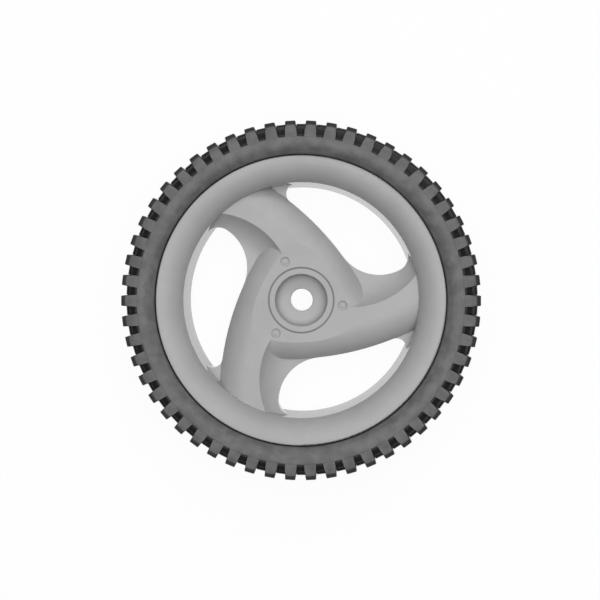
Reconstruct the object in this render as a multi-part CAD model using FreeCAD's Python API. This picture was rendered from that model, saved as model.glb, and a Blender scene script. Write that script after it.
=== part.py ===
import FreeCAD, Part
import math
import os

os.makedirs("parts", exist_ok=True)

# A lawn mower wheel: a moulded wheel with three swirl spokes, and a rubber tyre with two rows of lugs.
# The wheel lies on its back. The axle runs along +Z, the front faces up, and the origin is its centre.
# Lengths are in millimetres and angles in degrees. Heights are Z, measured from the wheel's mid-plane.

# Tyre
OVERALL_DIAMETER = 203.2
TYRE_WIDTH = 44.4
TYRE_HEIGHT = 19.4
LUG_COUNT = 54
LUG_DEPTH = 4.6
LUG_FACE_HEIGHT = 9.1
LUG_TIP_WIDTH = 5.9
LUG_ROOT_WIDTH = 6.8
LUG_PROUD = 0.7
LUG_CHAMFER = 3.6
LUG_ROW_GAP = 3.0
SHOULDER_LEAD = 1.0
SHOULDER_DROP = 4.5
SIDEWALL_FLAT = 1.4
SIDEWALL_DROP = 4.8

# Rim
RIM_WIDTH = 34.0
LIP_THICKNESS = 3.5
LIP_LAND = 1.0
LIP_ROUND = 0.8
TYRE_SEAT_DEPTH = 5.4
TYRE_SEAT_WALL = 3.0
TYRE_FIT_GAP = 0.05
LIP_GAP = 0.6
COVE_WIDTH = 14.8
COVE_DROP = 9.5
COVE_WALL = 3.0
BARREL_WALL = 2.6
BARREL_TAPER = 1.8
BARREL_BACK = 3.0
BARREL_ROUND = 0.8
RIM_RIB_COUNT = 18
RIM_RIB_THICKNESS = 2.2
RIM_RIB_RECESS = 2.5

# Hub
BORE_RADIUS = 6.45
BORE_CHAMFER = 0.4
RECESS_RADIUS = 14.2
RECESS_DEPTH = 9.0
RECESS_FLARE = 0.9
RECESS_FLARE_DEPTH = 3.0
HUB_WALL = 3.6
HUB_FLOOR = 4.5
TUBE_WALL = 4.6
TUBE_SETBACK = 0.4
GROOVE_RADIUS = 18.6
GROOVE_WIDTH = 0.8
GROOVE_DEPTH = 0.9

# Spokes
SPOKE_COUNT = 3
PLATEAU_DROP = 11.5
PLATEAU_RADIUS = 22.0
BLADE_START_RADIUS = 36.0
BLADE_RISE = 0.9
DISH_OVERRUN = 0.03
SPOKE_HEIGHT = 17.5
SPOKE_WALL = 3.0
EDGE_RADIUS = 159.0
EDGE_CLEAR = 33.9
EDGE_BEARING = 33.2
HOOK_RADIUS = 18.3
HOOK_BEARING = 30.9
HOOK_SWEEP = 95.0
HOOK_ROLL_RADIUS = 6.0
HOOK_OVERRUN = 1.3
ROLL_RADIUS = 18.0
ROLL_OVERRUN = 2.7
SCOOP_RADIUS = 46.1
SCOOP_CENTRE = 51.4
SCOOP_BEARING = 56.3
SCOOP_DEPTH = 8.0
SCOOP_SLOPE = 55.0
SHEET_RIM_BEARING = 28.0
SHEET_HUB_RADIUS = 30.0
SHEET_HUB_BEARING = 60.0
SPOKE_RIB_THICKNESS = 2.4
SPOKE_RIB_SETBACK = 3.0
SPOKE_RIB_REACH = 45.0
SPOKE_RIB_BEARING = -8.2

# Windows between the spokes
WINDOW_NECK_BEARING = 36.05
WINDOW_HEEL_BEARING = 19.2
WINDOW_TOE_ROUND = 5.6
WINDOW_HEEL_ROUND = 8.6
WINDOW_BITE = 0.2

# Gate marks
GATE_RADIUS = 23.8
GATE_BEARING = -7.3
GATE_WIDTH = 5.4
GATE_DEPTH = 0.7
GATE_NUB_WIDTH = 2.4
GATE_NUB_HEIGHT = 0.4

# A cutter reaches this far past what it cuts, and a joined piece reaches this far into its neighbour.
PAST = 2.0
INTO = 1.0

# Sizes that follow from those above
CROWN_RADIUS = OVERALL_DIAMETER / 2
FLOOR_RADIUS = CROWN_RADIUS - LUG_DEPTH
LUG_ROOT_RADIUS = CROWN_RADIUS - LUG_FACE_HEIGHT
SHOULDER_RADIUS = LUG_ROOT_RADIUS - SHOULDER_LEAD
LIP_RADIUS = CROWN_RADIUS - TYRE_HEIGHT
SEAT_RADIUS = LIP_RADIUS - TYRE_SEAT_DEPTH
FOOT_RADIUS = LIP_RADIUS - COVE_WIDTH
LIP_TOP = RIM_WIDTH / 2
LUG_FACE_TOP = TYRE_WIDTH / 2
SIDEWALL_TOP = LUG_FACE_TOP - LUG_PROUD
SHOULDER_FOOT = SIDEWALL_TOP - SHOULDER_DROP
SEAT_HALF_WIDTH = LIP_TOP - LIP_THICKNESS
FOOT_HEIGHT = LIP_TOP - COVE_DROP
BARREL_BOTTOM = -LIP_TOP - BARREL_BACK
PLATEAU_HEIGHT = LIP_TOP - PLATEAU_DROP
BLADE_HEIGHT = PLATEAU_HEIGHT + BLADE_RISE
SPOKE_BOTTOM = PLATEAU_HEIGHT - SPOKE_HEIGHT
RECESS_FLOOR = PLATEAU_HEIGHT - RECESS_DEPTH
HUB_RADIUS = RECESS_RADIUS + HUB_WALL
HUB_BOTTOM = RECESS_FLOOR - HUB_FLOOR
TUBE_RADIUS = BORE_RADIUS + TUBE_WALL
TUBE_BOTTOM = -LUG_FACE_TOP + TUBE_SETBACK
COVE_START_RADIUS = LIP_RADIUS - LIP_LAND
COVE_BEND = ((COVE_START_RADIUS - FOOT_RADIUS) ** 2 + COVE_DROP ** 2) / (2 * COVE_DROP)
COVE_BEND_HEIGHT = LIP_TOP - COVE_BEND
SPOKE_REACH = FOOT_RADIUS + INTO
SCOOP_FLOOR = PLATEAU_HEIGHT - SCOOP_DEPTH
BARREL_SLANT = BARREL_TAPER / (FOOT_HEIGHT - BARREL_BOTTOM)
WINDOW_REACH = FOOT_RADIUS - BARREL_SLANT * (FOOT_HEIGHT - SCOOP_FLOOR) + WINDOW_BITE
SPOKE_PITCH = 360.0 / SPOKE_COUNT
LUG_PITCH = 360.0 / LUG_COUNT

ORIGIN = FreeCAD.Vector(0, 0, 0)
AXLE = FreeCAD.Vector(0, 0, 1)


def polar(radius, bearing, height=0.0):
    """A point at a radius and bearing about the axle."""
    turn = math.radians(bearing)
    return FreeCAD.Vector(radius * math.cos(turn), radius * math.sin(turn), height)


def section(radius, height):
    """A point of a turned profile."""
    return FreeCAD.Vector(radius, 0, height)


def line(start, end):
    return Part.makeLine(start, end)


def arc(start, middle, end):
    return Part.Arc(start, middle, end).toShape()


def turned(edges, centre=ORIGIN):
    """The solid that a closed profile sweeps about an upright axis."""
    return Part.Face(Part.Wire(edges)).revolve(centre, AXLE, 360)


def turned_polygon(points, centre=ORIGIN):
    return turned(Part.makePolygon(points + points[:1]).Edges, centre)


def raised(edges, bottom, top):
    """The prism over a closed flat outline."""
    face = Part.Face(Part.Wire(edges))
    face.translate(FreeCAD.Vector(0, 0, bottom))
    return face.extrude(FreeCAD.Vector(0, 0, top - bottom))


def disc(radius, bottom, top):
    return Part.makeCylinder(radius, top - bottom, FreeCAD.Vector(0, 0, bottom))


def around(shape, count, start=0.0):
    """Copies of a shape, evenly spaced about the axle."""
    copies = []
    for number in range(count):
        copy = shape.copy()
        copy.rotate(ORIGIN, AXLE, start + number * 360.0 / count)
        copies.append(copy)
    return copies


def on_circle(centre, radius, bearing):
    return centre + polar(radius, bearing)


def bearing_from(centre, point):
    return math.degrees(math.atan2(point.y - centre.y, point.x - centre.x))


def circle_arc(centre, radius, first, last):
    """The arc of a circle between two bearings from its centre."""
    middle = on_circle(centre, radius, (first + last) / 2)
    return arc(on_circle(centre, radius, first), middle, on_circle(centre, radius, last))


# Where a blade's rolled edge lies. The blade edge is a shallow arc that hooks round at the hub.
EDGE_CENTRE = polar(EDGE_RADIUS - EDGE_CLEAR, EDGE_BEARING + 180)
HOOK_CENTRE = on_circle(EDGE_CENTRE, EDGE_RADIUS - HOOK_RADIUS, HOOK_BEARING)


def edge_bearing_at(edge_radius, reach):
    """The bearing, seen from the blade edge's centre, at which it comes to a radius about the axle."""
    base = EDGE_RADIUS - EDGE_CLEAR
    share = (base ** 2 + edge_radius ** 2 - reach ** 2) / (2 * base * edge_radius)
    return EDGE_BEARING + math.degrees(math.acos(share))


def edge_through(solid, point, height):
    """The level edge at a height that passes through a point."""
    target = Part.Vertex(FreeCAD.Vector(point.x, point.y, height))
    return min(solid.Edges, key=lambda edge: edge.distToShape(target)[0])


def upright_edge_at(solid, point):
    """The upright edge over a point."""
    middle = FreeCAD.Vector(point.x, point.y, solid.BoundBox.Center.z)
    return edge_through(solid, middle, middle.z)


def ring_edge(solid, radius, height):
    """The round edge of a turned solid at a radius and height."""
    return edge_through(solid, section(-radius, 0), height)


def upright_plate(points, thickness):
    """A plate that stands on the XZ plane, with the given outline."""
    face = Part.Face(Part.makePolygon(points + points[:1]))
    face.translate(FreeCAD.Vector(0, -thickness / 2, 0))
    return face.extrude(FreeCAD.Vector(0, thickness, 0))


def scoop(inset):
    """What a spoke's hollow flank takes away: a bowl whose wall is a concave arc under the crease."""
    centre = polar(SCOOP_CENTRE, SPOKE_PITCH + SCOOP_BEARING)
    slope = math.radians(SCOOP_SLOPE)
    bend = SCOOP_DEPTH / (1 - math.cos(slope))
    wall_start = SCOOP_RADIUS - bend * math.sin(slope)
    bend_height = SCOOP_FLOOR + bend
    bend = bend + inset
    top = BLADE_HEIGHT + PAST

    def on_bend(turn):
        return section(wall_start + bend * math.sin(turn), bend_height - bend * math.cos(turn))

    crease = on_bend(slope)
    brim = section(crease.x + (top - crease.z) / math.tan(slope), top)
    points = [section(0, top), section(0, on_bend(0).z), on_bend(0), on_bend(slope / 2), crease, brim]
    points = [point + centre for point in points]
    edges = [
        line(points[0], points[1]),
        line(points[1], points[2]),
        arc(points[2], points[3], points[4]),
        line(points[4], points[5]),
        line(points[5], points[0]),
    ]
    return turned(edges, centre)


def dish(inset):
    """What lies above the hub plateau, which rises to the blades in a gentle double bend."""
    rise = BLADE_RISE + DISH_OVERRUN
    half_run = (BLADE_START_RADIUS - PLATEAU_RADIUS) / 2
    half_rise = rise / 2
    bend = (half_run ** 2 + half_rise ** 2) / (2 * half_rise)
    sag = bend - math.sqrt(bend ** 2 - (half_run / 2) ** 2)
    plateau = PLATEAU_HEIGHT - inset
    start = section(PLATEAU_RADIUS, plateau)
    middle = section(PLATEAU_RADIUS + half_run, plateau + half_rise)
    end = section(BLADE_START_RADIUS, plateau + rise)
    top = BLADE_HEIGHT + PAST
    edges = [
        line(section(0, plateau), start),
        arc(start, section(PLATEAU_RADIUS + half_run / 2, plateau + sag), middle),
        arc(middle, section(BLADE_START_RADIUS - half_run / 2, plateau + rise - sag), end),
        line(end, section(BLADE_START_RADIUS, top)),
        line(section(BLADE_START_RADIUS, top), section(0, top)),
        line(section(0, top), section(0, plateau)),
    ]
    return turned(edges)


def rolled_disc(inset):
    """A wide disc about the blade edge's centre. Its rounded rim is the roll along the blade."""
    roll = ROLL_RADIUS - inset
    reach = EDGE_RADIUS + ROLL_OVERRUN - inset
    top = BLADE_HEIGHT - inset
    bottom = SPOKE_BOTTOM - inset - PAST
    bend = roll * math.sqrt(0.5)
    points = [
        section(reach - roll, top),
        section(reach - roll + bend, top - roll + bend),
        section(reach, top - roll),
        section(reach, bottom),
        section(0, bottom),
        section(0, top),
    ]
    points = [point + EDGE_CENTRE for point in points]
    edges = [arc(*points[:3])] + Part.makePolygon(points[2:] + points[:1]).Edges
    return turned(edges, EDGE_CENTRE)


def blade(inset):
    """One spoke's sheet, from its rolled edge to its scoop, with its faces set in by an inset."""
    edge_radius = EDGE_RADIUS + HOOK_OVERRUN - inset
    hook_radius = HOOK_RADIUS + HOOK_OVERRUN - inset
    top = BLADE_HEIGHT - inset
    tail_bearing = HOOK_BEARING - HOOK_SWEEP
    rim_bearing = edge_bearing_at(edge_radius, SPOKE_REACH)
    rim_start = bearing_from(ORIGIN, on_circle(EDGE_CENTRE, edge_radius, rim_bearing))
    rim_end = SPOKE_PITCH + SHEET_RIM_BEARING
    hub_end = polar(SHEET_HUB_RADIUS, SPOKE_PITCH + SHEET_HUB_BEARING)
    edges = [
        line(ORIGIN, on_circle(HOOK_CENTRE, hook_radius, tail_bearing)),
        circle_arc(HOOK_CENTRE, hook_radius, tail_bearing, HOOK_BEARING),
        circle_arc(EDGE_CENTRE, edge_radius, HOOK_BEARING, rim_bearing),
        circle_arc(ORIGIN, SPOKE_REACH, rim_start, rim_end),
        line(polar(SPOKE_REACH, rim_end), hub_end),
        line(hub_end, ORIGIN),
    ]
    body = raised(edges, SPOKE_BOTTOM - inset, top)
    hook = edge_through(body, on_circle(HOOK_CENTRE, hook_radius, HOOK_BEARING - HOOK_SWEEP / 2), top)
    body = body.makeFillet(HOOK_ROLL_RADIUS - inset, [hook])
    return body.common(rolled_disc(inset)).cut(scoop(inset))


def web(inset):
    """The three spokes and the hub plateau, joined."""
    blades = around(blade(inset), SPOKE_COUNT)
    return blades[0].fuse(blades[1:]).cut(dish(inset))


def window_outline(grow):
    """The opening between two spokes, grown by a margin: its toe, its heel and its edges.

    The blade edge runs from the toe in to the neck, where a pocket arc leaves it smoothly for the heel.
    """
    edge_radius = EDGE_RADIUS - grow
    reach = WINDOW_REACH + grow
    outwards = polar(1, WINDOW_NECK_BEARING)
    neck = on_circle(EDGE_CENTRE, EDGE_RADIUS, WINDOW_NECK_BEARING)
    across = polar(WINDOW_REACH, WINDOW_HEEL_BEARING) - neck
    pocket_radius = across.dot(across) / (2 * across.dot(outwards))
    pocket_centre = neck + outwards * pocket_radius
    pocket_radius = pocket_radius + grow
    share = pocket_centre.Length ** 2 + reach ** 2 - pocket_radius ** 2
    share = share / (2 * pocket_centre.Length * reach)
    heel_bearing = bearing_from(ORIGIN, pocket_centre) - math.degrees(math.acos(share))
    heel = polar(reach, heel_bearing)
    pocket_end = bearing_from(pocket_centre, heel)
    toe_bearing = edge_bearing_at(edge_radius, reach)
    toe = on_circle(EDGE_CENTRE, edge_radius, toe_bearing)
    edges = [
        circle_arc(EDGE_CENTRE, edge_radius, toe_bearing, WINDOW_NECK_BEARING),
        circle_arc(pocket_centre, pocket_radius, WINDOW_NECK_BEARING - 180, pocket_end),
        circle_arc(ORIGIN, reach, heel_bearing, bearing_from(ORIGIN, toe)),
    ]
    return toe, heel, edges


def window():
    """The prism that cuts one opening, with its corners rounded."""
    toe, heel, edges = window_outline(0)
    prism = raised(edges, SPOKE_BOTTOM - PAST, BLADE_HEIGHT + PAST)
    prism = prism.makeFillet(WINDOW_TOE_ROUND, [upright_edge_at(prism, toe)])
    return prism.makeFillet(WINDOW_HEEL_ROUND, [upright_edge_at(prism, heel)])


def cove_height(radius, depth):
    """The height of the rim's rounded front face at a radius, less a depth into its wall."""
    span = COVE_BEND - depth
    return COVE_BEND_HEIGHT + math.sqrt(span ** 2 - (COVE_START_RADIUS - radius) ** 2)


def rim():
    """The rim: rounded front face, channel for the tyre, and a tapered barrel with a slot behind it."""
    slot_inner = FOOT_RADIUS + BARREL_WALL
    slot_outer = SEAT_RADIUS - TYRE_SEAT_WALL
    slot_middle = (slot_inner + slot_outer) / 2
    cove_middle = (FOOT_RADIUS + COVE_START_RADIUS) / 2
    back = FOOT_RADIUS - BARREL_TAPER
    foot = section(FOOT_RADIUS, FOOT_HEIGHT)
    cove_end = section(COVE_START_RADIUS, LIP_TOP)
    slot_top_outer = section(slot_outer, cove_height(slot_outer, COVE_WALL))
    slot_top_middle = section(slot_middle, cove_height(slot_middle, COVE_WALL))
    slot_top_inner = section(slot_inner, cove_height(slot_inner, COVE_WALL))
    outer = [
        cove_end,
        section(LIP_RADIUS, LIP_TOP),
        section(LIP_RADIUS, SEAT_HALF_WIDTH),
        section(SEAT_RADIUS, SEAT_HALF_WIDTH),
        section(SEAT_RADIUS, -SEAT_HALF_WIDTH),
        section(LIP_RADIUS, -SEAT_HALF_WIDTH),
        section(LIP_RADIUS, -LIP_TOP),
        section(slot_outer, -LIP_TOP),
        slot_top_outer,
    ]
    inner = [
        slot_top_inner,
        section(back + BARREL_WALL, BARREL_BOTTOM),
        section(back, BARREL_BOTTOM),
        foot,
    ]
    edges = [arc(foot, section(cove_middle, cove_height(cove_middle, 0)), cove_end)]
    edges += Part.makePolygon(outer).Edges
    edges.append(arc(slot_top_outer, slot_top_middle, slot_top_inner))
    edges += Part.makePolygon(inner).Edges
    body = turned(edges)
    body = body.makeFillet(LIP_ROUND, [ring_edge(body, LIP_RADIUS, LIP_TOP)])
    body = body.makeFillet(LIP_ROUND, [ring_edge(body, LIP_RADIUS, -LIP_TOP)])
    return body.makeFillet(BARREL_ROUND, [ring_edge(body, FOOT_RADIUS, FOOT_HEIGHT)])


def rim_rib():
    """One stiffener across the slot behind the rim's front face."""
    top_inner = FOOT_RADIUS + BARREL_WALL - INTO
    outer = SEAT_RADIUS - TYRE_SEAT_WALL + INTO
    bottom = -LIP_TOP + RIM_RIB_RECESS
    return upright_plate([
        section(top_inner - BARREL_TAPER, bottom),
        section(outer, bottom),
        section(outer, cove_height(outer, COVE_WALL / 2)),
        section(top_inner, cove_height(top_inner, COVE_WALL / 2)),
    ], RIM_RIB_THICKNESS)


def spoke_rib():
    """The stiffener under one spoke, which also props the axle tube."""
    inner = TUBE_RADIUS - INTO
    tube_end = TUBE_BOTTOM + SPOKE_RIB_SETBACK
    top = PLATEAU_HEIGHT - SPOKE_WALL / 2
    rib = upright_plate([
        section(inner, top),
        section(inner, tube_end),
        section(TUBE_RADIUS + INTO, tube_end),
        section(SPOKE_RIB_REACH, SPOKE_BOTTOM),
        section(SPOKE_REACH, SPOKE_BOTTOM),
        section(SPOKE_REACH, top - INTO),
    ], SPOKE_RIB_THICKNESS)
    rib.rotate(ORIGIN, AXLE, SPOKE_RIB_BEARING)
    return rib


def corner_ring():
    """A ring along the barrel. The windows leave only its corners, where the spokes meet the barrel."""
    ring = disc(SPOKE_REACH, SPOKE_BOTTOM, SCOOP_FLOOR)
    return ring.cut(disc(WINDOW_REACH - 2 * WINDOW_HEEL_ROUND, SPOKE_BOTTOM, SCOOP_FLOOR))


def spokes():
    """The web of spokes, cut by its windows and hollow behind."""
    solid = web(0).fuse(corner_ring())
    hollow = web(SPOKE_WALL).common(disc(FOOT_RADIUS - BARREL_TAPER, SPOKE_BOTTOM - PAST, BLADE_HEIGHT))
    margin = raised(window_outline(SPOKE_WALL)[2], SPOKE_BOTTOM - 2 * PAST, BLADE_HEIGHT)
    hollow = hollow.cut(around(margin, SPOKE_COUNT))
    hollow = hollow.cut(disc(HUB_RADIUS, SPOKE_BOTTOM - PAST, BLADE_HEIGHT))
    return solid.cut(around(window(), SPOKE_COUNT)).cut(hollow)


def gate_mark():
    """A shallow round dimple with a nub at its middle, where the mould was fed."""
    reach = GATE_WIDTH / 2
    nub = GATE_NUB_WIDTH / 2
    floor = PLATEAU_HEIGHT - GATE_DEPTH
    mark = turned_polygon([
        section(nub, floor + GATE_NUB_HEIGHT),
        section(nub, floor),
        section(reach - GATE_DEPTH, floor),
        section(reach + PAST, PLATEAU_HEIGHT + PAST),
        section(0, PLATEAU_HEIGHT + PAST),
        section(0, floor + GATE_NUB_HEIGHT),
    ])
    mark.translate(polar(GATE_RADIUS, GATE_BEARING))
    return mark


def hub():
    """The hub's cup and its axle tube, solid."""
    cup = disc(HUB_RADIUS, HUB_BOTTOM, PLATEAU_HEIGHT)
    return cup.fuse(disc(TUBE_RADIUS, TUBE_BOTTOM, HUB_BOTTOM + INTO))


def hub_cuts():
    """The recess for the bolt head, the axle bore with its chamfers, and the ring groove."""
    mouth = RECESS_RADIUS + RECESS_FLARE
    recess = turned_polygon([
        section(0, RECESS_FLOOR),
        section(RECESS_RADIUS, RECESS_FLOOR),
        section(RECESS_RADIUS, PLATEAU_HEIGHT - RECESS_FLARE_DEPTH),
        section(mouth, PLATEAU_HEIGHT),
        section(mouth, PLATEAU_HEIGHT + PAST),
        section(0, PLATEAU_HEIGHT + PAST),
    ])
    rim_of_bore = BORE_RADIUS + BORE_CHAMFER
    bore = turned_polygon([
        section(0, RECESS_FLOOR + PAST),
        section(rim_of_bore, RECESS_FLOOR + PAST),
        section(rim_of_bore, RECESS_FLOOR),
        section(BORE_RADIUS, RECESS_FLOOR - BORE_CHAMFER),
        section(BORE_RADIUS, TUBE_BOTTOM + BORE_CHAMFER),
        section(rim_of_bore, TUBE_BOTTOM),
        section(rim_of_bore, TUBE_BOTTOM - PAST),
        section(0, TUBE_BOTTOM - PAST),
    ])
    groove = disc(GROOVE_RADIUS + GROOVE_WIDTH / 2, PLATEAU_HEIGHT - GROOVE_DEPTH, PLATEAU_HEIGHT + PAST)
    groove = groove.cut(disc(GROOVE_RADIUS - GROOVE_WIDTH / 2, HUB_BOTTOM, PLATEAU_HEIGHT + PAST))
    return [recess, bore, groove]


def wheel_rim():
    """The whole moulding."""
    ribs = around(rim_rib(), RIM_RIB_COUNT) + around(spoke_rib(), SPOKE_COUNT)
    body = rim().fuse([spokes(), hub()] + ribs)
    cuts = hub_cuts() + around(gate_mark(), SPOKE_COUNT)
    return body.cut(cuts).removeSplitter()


def rounded_sidewall(start, end):
    """A bulging arc from a tyre's mouth out to its widest ring, level where it ends."""
    width = end.x - start.x
    drop = end.z - start.z
    bend = (width ** 2 + drop ** 2) / (2 * drop)
    turn = math.atan2(width, bend - drop) / 2
    middle = section(end.x - bend * math.sin(turn), end.z - bend + bend * math.cos(turn))
    return start, middle, end


def flipped(point):
    return section(point.x, -point.z)


def carcass():
    """The tyre without its lugs: a base that fills the rim's channel, two sidewalls and a tread floor."""
    base = SEAT_RADIUS + TYRE_FIT_GAP
    base_half = SEAT_HALF_WIDTH - TYRE_FIT_GAP
    mouth = LIP_RADIUS + LIP_GAP
    wall = rounded_sidewall(
        section(mouth, SIDEWALL_TOP - SIDEWALL_DROP),
        section(SHOULDER_RADIUS - SIDEWALL_FLAT, SIDEWALL_TOP),
    )
    bead = [section(base, base_half), section(mouth, base_half), wall[0]]
    shoulder = [wall[2], section(SHOULDER_RADIUS, SIDEWALL_TOP), section(FLOOR_RADIUS, SHOULDER_FOOT)]
    edges = [line(bead[0], flipped(bead[0])), line(shoulder[2], flipped(shoulder[2]))]
    for points in (bead, shoulder):
        edges += Part.makePolygon(points).Edges
        edges += Part.makePolygon([flipped(point) for point in points]).Edges
    edges += [arc(*wall), arc(*[flipped(point) for point in wall])]
    return turned(Part.sortEdges(edges)[0])


def lug():
    """One lug of the front row: a tapered block with a chamfered shoulder."""
    root = LUG_ROOT_WIDTH / 2
    slant = (LUG_ROOT_WIDTH - LUG_TIP_WIDTH) / 2 / LUG_FACE_HEIGHT
    reach = LUG_FACE_HEIGHT + PAST
    tip = root - slant * reach
    outline = Part.makePolygon([
        FreeCAD.Vector(LUG_ROOT_RADIUS, -root, 0),
        FreeCAD.Vector(LUG_ROOT_RADIUS + reach, -tip, 0),
        FreeCAD.Vector(LUG_ROOT_RADIUS + reach, tip, 0),
        FreeCAD.Vector(LUG_ROOT_RADIUS, root, 0),
        FreeCAD.Vector(LUG_ROOT_RADIUS, -root, 0),
    ]).Edges
    block = raised(outline, LUG_ROW_GAP / 2, LUG_FACE_TOP)
    envelope = disc(CROWN_RADIUS, -LUG_FACE_TOP, LUG_FACE_TOP)
    envelope = envelope.makeChamfer(LUG_CHAMFER, [ring_edge(envelope, CROWN_RADIUS, LUG_FACE_TOP)])
    # Half a turn moves the seam of the round faces away from the lug.
    envelope.rotate(ORIGIN, AXLE, 180)
    return block.common(envelope)


def tyre():
    """The tyre, with a front and a back row of lugs set half a pitch apart."""
    front = lug()
    back = front.mirror(ORIGIN, AXLE)
    lugs = around(front, LUG_COUNT) + around(back, LUG_COUNT, LUG_PITCH / 2)
    return carcass().fuse(lugs).removeSplitter()


for name, shape in (("wheel_rim", wheel_rim()), ("tyre", tyre())):
    print(name, len(shape.Solids), "solids, valid", shape.isValid(), "volume", round(shape.Volume))
    shape.Solids[0].exportStep("parts/" + name + ".step")
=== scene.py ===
# %% [markdown]
# # A lawn mower wheel
# This lesson dresses the mechanical model of an eight inch lawn mower wheel. The model has two solids: a
# grey plastic moulding with swirl spokes, and the rubber tyre around it. Loading it first gives a fixed
# frame, in metres, with the axle along Z and the front of the wheel facing up. Everything made here is
# measured from that frame, so nothing needs fitting by eye.

# %% Load the mechanical model
import math

import bmesh
import bpy
from mathutils import Matrix, Vector


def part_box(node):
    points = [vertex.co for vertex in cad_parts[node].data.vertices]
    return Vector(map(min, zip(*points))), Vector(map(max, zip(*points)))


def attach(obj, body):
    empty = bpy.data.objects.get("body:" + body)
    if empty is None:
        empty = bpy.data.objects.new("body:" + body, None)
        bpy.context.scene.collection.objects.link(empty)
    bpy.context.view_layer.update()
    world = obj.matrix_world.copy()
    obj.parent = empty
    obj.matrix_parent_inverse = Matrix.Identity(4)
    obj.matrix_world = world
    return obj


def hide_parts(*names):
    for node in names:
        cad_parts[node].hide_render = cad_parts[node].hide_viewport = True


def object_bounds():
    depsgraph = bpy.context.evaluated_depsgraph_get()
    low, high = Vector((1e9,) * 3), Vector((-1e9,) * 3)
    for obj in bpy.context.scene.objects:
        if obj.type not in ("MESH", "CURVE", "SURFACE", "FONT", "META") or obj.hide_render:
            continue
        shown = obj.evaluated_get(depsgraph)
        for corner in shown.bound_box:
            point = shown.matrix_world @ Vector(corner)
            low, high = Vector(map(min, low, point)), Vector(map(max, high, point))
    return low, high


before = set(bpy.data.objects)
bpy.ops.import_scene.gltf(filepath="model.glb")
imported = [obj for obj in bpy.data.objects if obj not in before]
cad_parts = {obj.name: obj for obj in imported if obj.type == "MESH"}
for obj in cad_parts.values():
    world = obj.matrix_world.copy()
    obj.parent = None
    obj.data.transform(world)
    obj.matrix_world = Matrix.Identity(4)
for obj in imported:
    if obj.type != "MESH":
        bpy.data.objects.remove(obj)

cad_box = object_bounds()


def rounded(corners):
    return [tuple(round(value, 4) for value in corner) for corner in corners]


print("pieces", sorted(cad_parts), "box", rounded(cad_box))

# %% [markdown]
# ## Sizes to work from
# The outside of the tyre and the lip of the plastic rim can be read from the model's own boxes. The rest
# of the tyre is a short list of sizes, given where each is first used. Writing them in millimetres keeps
# them easy to read, and one factor turns them into Blender's metres.

# %% Read the main sizes
MM = 0.001
crown_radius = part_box("tyre")[1].x
half_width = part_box("tyre")[1].z
lip_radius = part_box("wheel_rim")[1].x
print("tyre radius", round(crown_radius / MM, 2), "half width", round(half_width / MM, 2))
print("rim lip radius", round(lip_radius / MM, 2))

# %% [markdown]
# ## Shader maths that reads like maths
# A material is a tree of nodes, and a sum of two sockets needs a Math node and two links. Adding those by
# hand hides the idea behind the plumbing. This small class holds one socket. Its operators add the Math
# nodes, so that `1 - mask` is a line of Python, and its `make` method adds any other node.

# %% One class for sockets
class Signal:
    """A socket of a node tree that can be used in sums."""

    def __init__(self, tree, socket=None):
        self.tree = tree
        self.socket = socket

    def make(self, kind, settings=None, values=None, output=0):
        """Adds a node: first its settings, then what goes into its sockets. Returns one of its outputs."""
        node = self.tree.nodes.new("ShaderNode" + kind)
        for name, value in (settings or {}).items():
            setattr(node, name, value)
        for name, value in (values or {}).items():
            if isinstance(value, Signal):
                self.tree.links.new(value.socket, node.inputs[name])
            else:
                node.inputs[name].default_value = value
        return Signal(self.tree, node.outputs[output])

    def math(self, operation, *terms):
        return self.make("Math", {"operation": operation}, dict(enumerate(terms)))

    def __add__(self, other):
        return self.math("ADD", self, other)

    def __sub__(self, other):
        return self.math("SUBTRACT", self, other)

    def __rsub__(self, other):
        return self.math("SUBTRACT", other, self)

    def __mul__(self, other):
        return self.math("MULTIPLY", self, other)

    def __truediv__(self, other):
        return self.math("DIVIDE", self, other)

    __radd__ = __add__
    __rmul__ = __mul__

    def between(self, low, high):
        """Nought up to low, one from high on, and a smooth rise between them."""
        settings = {"interpolation_type": "SMOOTHSTEP"}
        return self.make("MapRange", settings, {"Value": self, "From Min": low, "From Max": high})

    def blend(self, first, second):
        """The first colour where this is nought and the second where it is one."""
        return self.make("Mix", {"data_type": "RGBA"}, {0: self, 6: first, 7: second}, 2)


def start_material(name):
    """A new material with its shader, and a signal to build its other nodes from."""
    material = bpy.data.materials.new(name)
    material.use_nodes = True
    shader = material.node_tree.nodes["Principled BSDF"]
    return material, shader, Signal(material.node_tree)


def feed(shader, name, signal):
    signal.tree.links.new(signal.socket, shader.inputs[name])


print("socket operators ready")
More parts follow.
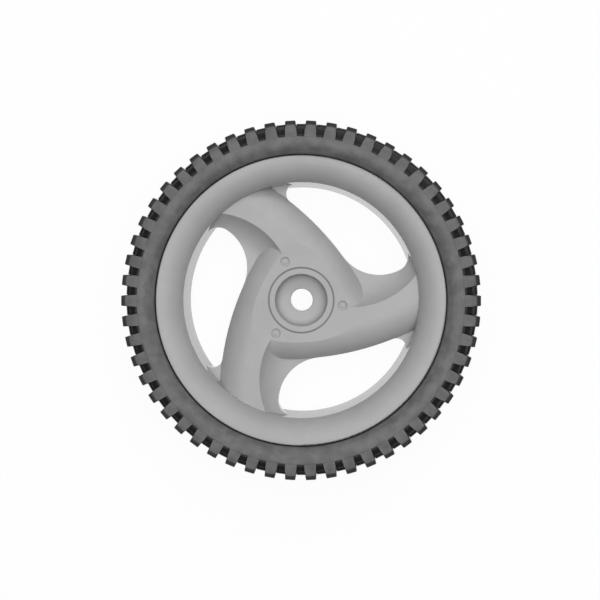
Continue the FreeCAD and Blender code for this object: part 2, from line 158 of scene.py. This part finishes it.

# %% [markdown]
# ## Grey moulded plastic
# The wheel is polypropylene, coloured right through and moulded in a steel tool with a fine spark-eroded
# grain. It is nearly one neutral grey. Real mouldings aren't perfectly even: the colour drifts over a few
# centimetres where the melt cooled, and the grain scatters the light. So the colour is a slow noise between
# two close greys, the roughness follows another, and a very fine noise is the grain's bump. The upright
# walls differ. A toolmaker polishes them, so that the moulding slides out of the tool, and they shine. How
# far a surface faces up or down tells the two apart. The mould's sharp edges are worn soft, which the Bevel
# node gives without touching the model. Last, a mask by radius and height darkens the narrow ring groove
# round the hub: painted shade, for the shadow inside the groove.

# %% Make the wheel plastic
PLASTIC_LIGHT = (0.392, 0.392, 0.390, 1)
PLASTIC_DARK = (0.360, 0.360, 0.359, 1)
PLASTIC_EDGE = 0.35 * MM
EDGE_SAMPLES = 6
PLASTIC_IOR = 1.49
GRAINED_ROUGHNESS = 0.46
POLISHED_ROUGHNESS = 0.08
PATCH_ROUGHNESS = 0.08
UPRIGHT_BELOW = 0.12
SLOPED_ABOVE = 0.40
DRIFT_NOISE = {"Scale": 28.0, "Detail": 3.0}
PATCH_NOISE = {"Scale": 160.0, "Detail": 2.0}
GRAIN_NOISE = {"Scale": 2200.0, "Detail": 2.0}
DRIFT_SHARE = 0.7
PATCH_SHARE = 0.3
TONE_RANGE = (0.35, 0.65)
GRAIN_STRENGTH = 0.12
GRAIN_DEPTH = 0.06 * MM
# Painted shade: a darker grey for the shadow in the ring groove round the hub.
GROOVE_PAINTED_SHADE = (0.085, 0.085, 0.083, 1)
GROOVE_RADIUS = 18.6 * MM
GROOVE_HALF_WIDTH = 0.4 * MM
GROOVE_FADE = 0.1 * MM
GROOVE_SHADE_START = 4.2 * MM
GROOVE_SHADE_FULL = 4.4 * MM
GROOVE_SHADE_STRENGTH = 0.5


def levelness(start):
    """One on a surface that faces straight up or down, and nought on an upright wall."""
    direction = start.make("TexCoord", output="Normal")
    return start.math("ABSOLUTE", start.make("SeparateXYZ", values={"Vector": direction}, output="Z"))


def noise(place, settings):
    return place.make("TexNoise", values={"Vector": place, **settings})


def place_on_wheel(start):
    """The position, its distance from the axle and its three coordinates."""
    place = start.make("TexCoord", output="Object")
    x, y, z = (start.make("SeparateXYZ", values={"Vector": place}, output=axis) for axis in "XYZ")
    return place, start.math("POWER", x * x + y * y, 0.5), x, y, z


def wheel_plastic():
    material, shader, start = start_material("wheel_plastic")
    place, radius, _, _, z = place_on_wheel(start)
    drift = noise(place, DRIFT_NOISE)
    patches = noise(place, PATCH_NOISE)
    grain = noise(place, GRAIN_NOISE)
    tone = (drift * DRIFT_SHARE + patches * PATCH_SHARE).between(*TONE_RANGE)
    grey = tone.blend(PLASTIC_DARK, PLASTIC_LIGHT)
    off_groove = start.math("ABSOLUTE", radius - GROOVE_RADIUS)
    in_groove = 1 - off_groove.between(GROOVE_HALF_WIDTH, GROOVE_HALF_WIDTH + GROOVE_FADE)
    # Painted shade: the ring groove is darkened for the shadow inside it.
    groove_shade = in_groove * z.between(GROOVE_SHADE_START, GROOVE_SHADE_FULL) * GROOVE_SHADE_STRENGTH
    feed(shader, "Base Color", groove_shade.blend(grey, GROOVE_PAINTED_SHADE))
    grained = levelness(start).between(UPRIGHT_BELOW, SLOPED_ABOVE)
    dullness = grained * (GRAINED_ROUGHNESS - POLISHED_ROUGHNESS) + patches * PATCH_ROUGHNESS
    feed(shader, "Roughness", POLISHED_ROUGHNESS + dullness)
    soft_edge = start.make("Bevel", {"samples": EDGE_SAMPLES}, {"Radius": PLASTIC_EDGE})
    bump = {"Height": grain, "Strength": GRAIN_STRENGTH, "Distance": GRAIN_DEPTH, "Normal": soft_edge}
    feed(shader, "Normal", start.make("Bump", values=bump))
    shader.inputs["IOR"].default_value = PLASTIC_IOR
    return material


plastic = wheel_plastic()
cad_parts["wheel_rim"].material_slots[0].material = plastic
print("wheel plastic has", len(plastic.node_tree.nodes), "nodes")

# %% [markdown]
# ## Black rubber
# The tyre is filled rubber with a pale grey bloom on its sidewalls. The same pale colour on the flat fronts
# of the lugs is painted sheen, for the lamps' shine on faces that turn to them. Steep faces and faces deep
# in the gaps between the lugs stay black, which is painted shade. So the pale colour is a product of masks:
# how level a face is, how near it is to the wheel's side, and a mottle. The lugs get a little less of it.
# Half of the mottle lies in streaks that run round the wheel. To stretch a noise round a circle, its
# position is rebuilt from the direction to the axle and the distance from it, so that the pattern has no
# seam. A faint moulded ring near the rim is a bump.

# %% Make the tyre rubber
RUBBER_DARK = (0.020, 0.020, 0.021, 1)
# Pale grey: the sidewall's own bloom, and painted sheen on the lugs' flat fronts.
RUBBER_BLOOM_AND_SHEEN = (0.162, 0.162, 0.165, 1)
RUBBER_GLOSS = 0.22
BLACK_ROUGHNESS = 0.30
PALE_ROUGHNESS = 0.54
STREAK_CIRCLE = 0.05
STREAK_NOISE = {"Scale": 140.0, "Detail": 4.0}
BLOTCH_NOISE = {"Scale": 190.0, "Detail": 4.0}
RUBBER_GRAIN_NOISE = {"Scale": 1500.0, "Detail": 3.0}
MOTTLE_RANGE = (0.36, 0.64)
RUBBER_GRAIN_SHARE = 0.25
RELIEF_STRENGTH = 0.5
RELIEF_DEPTH = 0.15 * MM
SIDEWALL_EDGE = crown_radius - 9.2 * MM
SIDEWALL_FADE = 1.0 * MM
SIDEWALL_ALLOWANCE = 0.45
LEVEL_START = 0.70
LEVEL_FULL = 0.98
PALE_LEAST = 0.66
PALE_MOTTLE = 0.34
PALE_START = 14.5 * MM
PALE_FULL = 17.0 * MM
LUG_PALE_STEP = 4.5 * MM
LUG_PALE_LOSS = 0.12
BEAD_LINE_RADIUS = lip_radius + 2.4 * MM
BEAD_LINE_WIDTH = 0.5 * MM


def tyre_rubber():
    material, shader, start = start_material("tyre_rubber")
    place, radius, x, y, z = place_on_wheel(start)
    around = {"X": x / radius * STREAK_CIRCLE, "Y": y / radius * STREAK_CIRCLE, "Z": radius + z}
    streaks = noise(start.make("CombineXYZ", values=around), STREAK_NOISE)
    blotches = noise(place, BLOTCH_NOISE)
    grain = noise(place, RUBBER_GRAIN_NOISE)
    mottle = (streaks * 0.5 + blotches * 0.5).between(*MOTTLE_RANGE)
    on_lugs = radius.between(SIDEWALL_EDGE - SIDEWALL_FADE, SIDEWALL_EDGE + SIDEWALL_FADE)
    height = start.math("ABSOLUTE", z) - on_lugs * LUG_PALE_STEP
    # Painted shade: faces deep in the gaps between the lugs are kept black.
    clear_of_gap_shade = height.between(PALE_START, PALE_FULL)
    flat = (levelness(start) + (1 - on_lugs) * SIDEWALL_ALLOWANCE).between(LEVEL_START, LEVEL_FULL)
    # Pale colour: real bloom on the sidewall, and painted sheen on the lugs' level faces.
    bloom_and_sheen = flat * clear_of_gap_shade * (PALE_LEAST + mottle * PALE_MOTTLE) * (1 - on_lugs * LUG_PALE_LOSS)
    feed(shader, "Base Color", bloom_and_sheen.blend(RUBBER_DARK, RUBBER_BLOOM_AND_SHEEN))
    feed(shader, "Roughness", BLACK_ROUGHNESS + bloom_and_sheen * (PALE_ROUGHNESS - BLACK_ROUGHNESS))
    off_line = start.math("ABSOLUTE", radius - BEAD_LINE_RADIUS)
    relief = off_line.between(0, BEAD_LINE_WIDTH) + grain * RUBBER_GRAIN_SHARE
    bump = {"Height": relief, "Strength": RELIEF_STRENGTH, "Distance": RELIEF_DEPTH}
    feed(shader, "Normal", start.make("Bump", values=bump))
    shader.inputs["Specular IOR Level"].default_value = RUBBER_GLOSS
    return material


rubber = tyre_rubber()
print("tyre rubber has", len(rubber.node_tree.nodes), "nodes")

# %% [markdown]
# ## The tyre's body
# A tyre is turned about its axle, so its section is drawn once and spun. The section here is a loop of
# edges. The bulge of each sidewall is itself a spin: one vertex swept about the centre of the bulge. The
# sharp corners of the loop are then bevelled as vertices, which rounds them before the long spin.

# %% Draw half of the section
MOUTH_GAP = 0.4 * MM
SEAT_DEPTH = 5.35 * MM
SEAT_HALF_WIDTH = 13.45 * MM
SIDEWALL_DROP = 5.4 * MM
SIDEWALL_WIDTH = 7.5 * MM
SIDEWALL_FLAT = 2.3 * MM
SIDEWALL_MARGIN = 0.02 * MM
TREAD_RADIUS = crown_radius - 4.6 * MM
SHOULDER_LEAN = 1.1 * MM
SHOULDER_DROP = 4.5 * MM
TREAD_FALL = 1.7 * MM
SIDEWALL_STEPS = 10
mouth_radius = lip_radius + MOUTH_GAP
sidewall_top = half_width - SIDEWALL_MARGIN
bulge_radius = mouth_radius + SIDEWALL_WIDTH
bulge_bend = (SIDEWALL_WIDTH ** 2 + SIDEWALL_DROP ** 2) / (2 * SIDEWALL_DROP)
bulge_turn = math.atan2(SIDEWALL_WIDTH, bulge_bend - SIDEWALL_DROP)


def section_half(bm):
    """The front half of the tyre's section, as a chain of edges. Returns the corners to round."""
    widest = bm.verts.new((bulge_radius, 0, sidewall_top))
    centre = (bulge_radius, 0, sidewall_top - bulge_bend)
    sweep = bmesh.ops.spin(
        bm, geom=[widest], cent=centre, axis=(0, 1, 0), angle=-bulge_turn, steps=SIDEWALL_STEPS
    )
    mouth = sweep["geom_last"][0]
    foot = bm.verts.new((mouth_radius, 0, SEAT_HALF_WIDTH))
    base = bm.verts.new((lip_radius - SEAT_DEPTH, 0, SEAT_HALF_WIDTH))
    shoulder = bm.verts.new((bulge_radius + SIDEWALL_FLAT, 0, sidewall_top))
    ledge_height = sidewall_top - SHOULDER_DROP
    ledge = bm.verts.new((bulge_radius + SIDEWALL_FLAT + SHOULDER_LEAN, 0, ledge_height))
    floor_edge = bm.verts.new((TREAD_RADIUS, 0, ledge_height - TREAD_FALL))
    chains = ((mouth, foot, base), (widest, shoulder, ledge, floor_edge))
    for chain in chains:
        for ends in zip(chain, chain[1:]):
            bm.edges.new(ends)
    return mouth, shoulder, ledge, floor_edge


draft = bmesh.new()
section_half(draft)
print("half section", len(draft.verts), "points", len(draft.edges), "edges")
draft.free()

# %% [markdown]
# The other half is a mirror of the first. Bevelling a vertex of a bare chain of edges replaces the corner
# with a short arc, each with its own radius. The spin then takes the whole loop round once, and merging
# closes the seam.

# %% Spin the body
TURN_STEPS = 216
MOUTH_ROUND = 0.5 * MM
SHOULDER_ROUND = 0.5 * MM
LEDGE_ROUND = 1.2 * MM
FLOOR_ROUND = 1.5 * MM
SECTION_SEGMENTS = 3
MERGE_DISTANCE = 0.001 * MM


def close_and_orient(bm):
    """Merges doubled vertices and points every face outwards."""
    bmesh.ops.remove_doubles(bm, verts=bm.verts[:], dist=MERGE_DISTANCE)
    bmesh.ops.recalc_face_normals(bm, faces=bm.faces[:])


def round_corners(bm, vertices, size, segments):
    bmesh.ops.bevel(
        bm, geom=vertices, offset=size, segments=segments, profile=0.5, affect="VERTICES", material=-1
    )


def tyre_body(bm):
    for vertex, size in zip(section_half(bm), (MOUTH_ROUND, SHOULDER_ROUND, LEDGE_ROUND, FLOOR_ROUND)):
        round_corners(bm, [vertex], size, SECTION_SEGMENTS)
    half = bm.verts[:] + bm.edges[:]
    bmesh.ops.mirror(bm, geom=half, matrix=Matrix(), merge_dist=0, axis="Z")
    bm.verts.ensure_lookup_table()
    ends = [vertex for vertex in bm.verts if len(vertex.link_edges) == 1]
    for radius in {round(vertex.co.x, 6) for vertex in ends}:
        bm.edges.new([vertex for vertex in ends if round(vertex.co.x, 6) == radius])
    loop = bm.verts[:] + bm.edges[:]
    bmesh.ops.spin(bm, geom=loop, axis=(0, 0, 1), angle=math.tau, steps=TURN_STEPS, use_merge=True)
    close_and_orient(bm)


body = bmesh.new()
tyre_body(body)
print("tyre body", len(body.faces), "faces, open edges", sum(edge.is_boundary for edge in body.edges))

# %% [markdown]
# ## The lugs
# Each lug is a block of rubber that runs from the middle of the tread to the sidewall, where it stops a
# hair below the sidewall's edge. Its outer end is cut off at a slant, and the corners of that slant are worn
# round, so that its front face is shaped like a tombstone. A cube is scaled to the block and tapered to its
# tip, and its root is simply buried in the body. Four bevels do the rest: the slant, the rounded end at the
# middle of the tread, the slant's two corners and a fine round on every edge that shows.

# %% Shape one lug
LUG_TIP_WIDTH = 5.8 * MM
LUG_ROOT_WIDTH = 6.9 * MM
LUG_ROOT_RADIUS = crown_radius - 12.0 * MM
LUG_SUNK = 0.25 * MM
LUG_SLANT = 2.7 * MM
LUG_CORNER = 2.1 * MM
LUG_INNER_ROUND = 2.2 * MM
LUG_EDGE = 0.35 * MM
FLAT_CUT = 1
INNER_SEGMENTS = 3
LUG_CORNER_SEGMENTS = 2
ROW_GAP = 3.0 * MM
CROWN_MARGIN = 0.03 * MM
TOUCHING = 0.02 * MM
lug_top = half_width - LUG_SUNK
lug_tip = crown_radius - CROWN_MARGIN


def edges_where(bm, test):
    return [edge for edge in bm.edges if all(test(vertex.co) for vertex in edge.verts)]


def bevel_edges(bm, edges, size, segments):
    bmesh.ops.bevel(
        bm, geom=edges, offset=size, segments=segments, profile=0.5, affect="EDGES", material=-1
    )


def lug_block(bm):
    """A tapered block with a slanted outer end and a rounded inner one."""
    low = ROW_GAP / 2
    size = Vector((lug_tip - LUG_ROOT_RADIUS, LUG_ROOT_WIDTH, lug_top - low))
    centre = Vector((lug_tip + LUG_ROOT_RADIUS, 0, lug_top + low)) / 2
    cube = bmesh.ops.create_cube(bm, size=1)["verts"]
    bmesh.ops.scale(bm, vec=size, verts=cube)
    bmesh.ops.translate(bm, vec=centre, verts=cube)
    outer = [vertex for vertex in cube if vertex.co.x > centre.x]
    bmesh.ops.scale(bm, vec=(1, LUG_TIP_WIDTH / LUG_ROOT_WIDTH, 1), verts=outer)
    ends = ((lug_top, LUG_SLANT, FLAT_CUT), (low, LUG_INNER_ROUND, INNER_SEGMENTS))
    for height, offset, segments in ends:
        rim = edges_where(bm, lambda co: co.x > lug_tip - TOUCHING and abs(co.z - height) < TOUCHING)
        bevel_edges(bm, rim, offset, segments)


def lug(bm):
    lug_block(bm)
    slant_foot = lug_tip - LUG_SLANT
    corners = [
        vertex for vertex in bm.verts
        if abs(vertex.co.x - slant_foot) < TOUCHING and abs(vertex.co.z - lug_top) < TOUCHING
    ]
    round_corners(bm, corners, LUG_CORNER, LUG_CORNER_SEGMENTS)
    shown = edges_where(bm, lambda co: co.x > LUG_ROOT_RADIUS + TOUCHING)
    bevel_edges(bm, shown, LUG_EDGE, FLAT_CUT)
    close_and_orient(bm)


draft = bmesh.new()
lug(draft)
print("one lug", len(draft.faces), "faces, open edges", sum(edge.is_boundary for edge in draft.edges))
draft.free()

# %% [markdown]
# ## Two staggered rows
# The front row is the lug spun round as copies. The back row is the same row seen in a mirror, set half a
# pitch on, so that each back lug stands in a gap of the front row. The rows sink into the body as they
# would in the mould, and all of it is one object.

# %% Set the lugs round the tyre
LUG_COUNT = 54
SMOOTH_LIMIT = math.radians(20)


def lug_row(bm, side):
    """One row of lugs: side is 1 for the front row and -1 for the back row."""
    lug(bm)
    bmesh.ops.scale(bm, vec=(1, 1, side), verts=bm.verts[:])
    pitch = math.tau / LUG_COUNT
    start = 0 if side > 0 else pitch / 2
    bmesh.ops.rotate(bm, cent=(0, 0, 0), matrix=Matrix.Rotation(start, 3, "Z"), verts=bm.verts[:])
    first = bm.verts[:] + bm.edges[:] + bm.faces[:]
    turn = math.tau - pitch
    bmesh.ops.spin(bm, geom=first, axis=(0, 0, 1), angle=turn, steps=LUG_COUNT - 1, use_duplicate=True)
    bmesh.ops.recalc_face_normals(bm, faces=bm.faces[:])


def shade(bm):
    """Smooth faces, with edges sharper than the limit kept crisp."""
    for face in bm.faces:
        face.smooth = True
    for edge in bm.edges:
        edge.smooth = edge.calc_face_angle(0) < SMOOTH_LIMIT


def join(bm, make, *settings):
    """Adds what a function makes in a mesh of its own to another mesh."""
    own = bmesh.new()
    make(own, *settings)
    mesh = bpy.data.meshes.new("part")
    own.to_mesh(mesh)
    own.free()
    bm.from_mesh(mesh)
    bpy.data.meshes.remove(mesh)


for side in (1, -1):
    join(body, lug_row, side)
shade(body)
tyre_mesh = bpy.data.meshes.new("moulded_tyre")
body.to_mesh(tyre_mesh)
body.free()
moulded_tyre = bpy.data.objects.new("moulded_tyre", tyre_mesh)
bpy.context.scene.collection.objects.link(moulded_tyre)
tyre_mesh.materials.append(rubber)
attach(moulded_tyre, "root")
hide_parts("tyre")
print("moulded tyre", len(tyre_mesh.polygons), "faces")

# %% [markdown]
# ## The stage
# The wheel lies on a pale floor. Seen by the camera, or in a reflection, the floor is almost pure white, as
# in a catalogue. A share of real shading is left in, so that the wheel keeps a soft shadow. The Light Path
# node tells the floor which kind of ray is asking.

# %% Lay the floor
FLOOR_RADIUS = 6.0
FLOOR_SEGMENTS = 96
FLOOR_ROUGHNESS = 0.9
FLOOR_COLOUR = (0.88, 0.88, 0.88, 1)
FLOOR_WHITE = 0.95
SEEING_RAYS = ("Is Camera Ray", "Is Glossy Ray", "Is Transmission Ray")


def floor_finish():
    material, shader, start = start_material("floor")
    shader.inputs["Base Color"].default_value = FLOOR_COLOUR
    shader.inputs["Roughness"].default_value = FLOOR_ROUGHNESS
    rays = [start.make("LightPath", output=kind) for kind in SEEING_RAYS]
    seen = start.math("MAXIMUM", start.math("MAXIMUM", rays[0], rays[1]), rays[2])
    glow = start.make("Emission", values={"Strength": 1.0})
    plain = Signal(material.node_tree, shader.outputs[0])
    mixed = start.make("MixShader", values={0: seen * FLOOR_WHITE, 1: plain, 2: glow})
    output = material.node_tree.nodes["Material Output"]
    material.node_tree.links.new(mixed.socket, output.inputs["Surface"])
    return material


def lay_floor():
    bm = bmesh.new()
    bmesh.ops.create_circle(bm, cap_ends=True, radius=FLOOR_RADIUS, segments=FLOOR_SEGMENTS)
    bmesh.ops.translate(bm, vec=(0, 0, cad_box[0].z), verts=bm.verts[:])
    mesh = bpy.data.meshes.new("floor")
    bm.to_mesh(mesh)
    bm.free()
    floor = bpy.data.objects.new("floor", mesh)
    bpy.context.scene.collection.objects.link(floor)
    mesh.materials.append(floor_finish())


lay_floor()
print("floor at", round(cad_box[0].z / MM, 2), "mm")

# %% [markdown]
# ## Light
# A catalogue shot uses one large softbox near the camera, so that hollows darken softly towards their walls
# on all sides. A smaller lamp stands above the wheel in the picture and rakes across it. It lights the
# slopes that face it, leaves the others darker, and puts a glint on the lugs' rounded ends. A dim even
# world fills the rest. Past the floor's edge the camera sees that world as plain white.

# %% Hang the lamps
SOFTBOX_PLACE = Vector((0.06, 0.09, 1.30))
SOFTBOX_SIZE = (1.3, 1.3)
SOFTBOX_WATTS = 16.2
RAKING_PLACE = Vector((0.25, 1.00, 0.95))
RAKING_SIZE = (1.3, 0.35)
RAKING_WATTS = 5.2
WORLD_LEVEL = 0.10


def facing(place, target):
    """The turn that points a lamp or camera from a place to a target, with +Y up in the picture."""
    back = (place - target).normalized()
    right = Vector((0, 1, 0)).cross(back).normalized()
    return Matrix((right, back.cross(right), back)).transposed()


def hang_lamp(name, place, size, watts):
    """A lamp of some width and height that faces the wheel's centre."""
    lamp = bpy.data.lights.new(name, "AREA")
    lamp.shape = "RECTANGLE"
    lamp.size, lamp.size_y = size
    lamp.energy = watts
    hung = bpy.data.objects.new(name, lamp)
    hung.matrix_world = Matrix.Translation(place) @ facing(place, Vector()).to_4x4()
    bpy.context.scene.collection.objects.link(hung)


def fill_world():
    world = bpy.data.worlds.new("even_fill")
    world.use_nodes = True
    background = world.node_tree.nodes["Background"]
    background.inputs["Color"].default_value = (1, 1, 1, 1)
    seen = Signal(world.node_tree).make("LightPath", output="Is Camera Ray")
    feed(background, "Strength", WORLD_LEVEL + seen * (1 - WORLD_LEVEL))
    bpy.context.scene.world = world


hang_lamp("softbox", SOFTBOX_PLACE, SOFTBOX_SIZE, SOFTBOX_WATTS)
hang_lamp("raking_lamp", RAKING_PLACE, RAKING_SIZE, RAKING_WATTS)
fill_world()
print("softbox", SOFTBOX_WATTS, "W, raking lamp", RAKING_WATTS, "W, world", WORLD_LEVEL)

# %% [markdown]
# ## Camera
# The photograph looks straight at the wheel's front from about a metre away, a touch from the right and
# above, through a long lens. The camera aims just beside the axle to leave it where the picture has it.

# %% Set the camera
CAMERA_PLACE = Vector((23.5, 22.0, 947.0)) * MM
CAMERA_AIM = Vector((-0.83, 0.0, 0.0)) * MM
CAMERA_LENS = 98.76
CAMERA_SENSOR = 36.0


def set_camera():
    data = bpy.data.cameras.new("camera")
    data.lens = CAMERA_LENS
    data.sensor_width = CAMERA_SENSOR
    camera = bpy.data.objects.new("camera", data)
    camera.matrix_world = Matrix.Translation(CAMERA_PLACE) @ facing(CAMERA_PLACE, CAMERA_AIM).to_4x4()
    bpy.context.scene.collection.objects.link(camera)
    bpy.context.scene.camera = camera


set_camera()
bpy.context.scene.view_settings.view_transform = "Standard"
print("camera at", [round(value / MM, 1) for value in CAMERA_PLACE], "mm")
